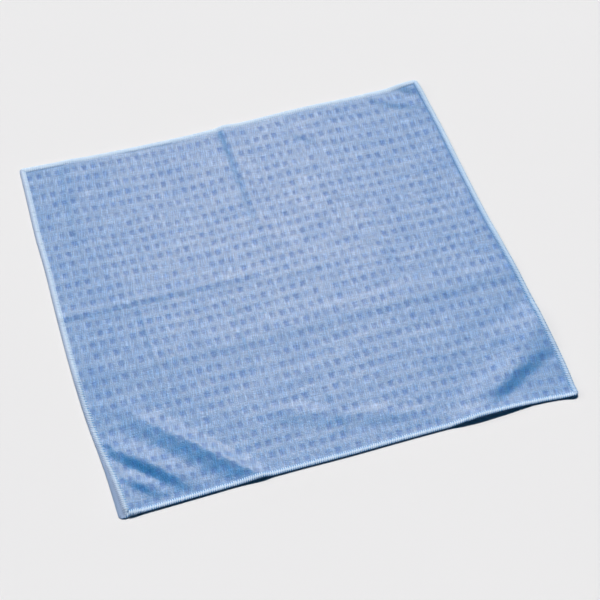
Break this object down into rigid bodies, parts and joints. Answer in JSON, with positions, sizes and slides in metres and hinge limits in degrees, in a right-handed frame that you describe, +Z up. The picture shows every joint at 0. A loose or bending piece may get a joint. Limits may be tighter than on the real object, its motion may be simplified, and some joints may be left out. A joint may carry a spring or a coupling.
{
  "type": "microfibre cloth",
  "caption": "Square microfibre cleaning cloth with a sunken waffle pattern and an overlocked edge, laid out flat with fold creases and raised corner folds.",
  "frame": {"origin": "middle of the cloth's outline box, on the surface that the cloth lies on", "axes": "+Z up from the surface; +Y from the near hem to the far hem; +X from the left hem to the right hem"},
  "size_m": [0.4062, 0.4022, 0.0073],
  "materials": {
    "microfibre": "matt light blue microfibre knit with darker sunken squares and a soft sheen"
  },
  "bodies": {
    "root": {"cloth": "microfibre"}
  },
  "joints": []
}
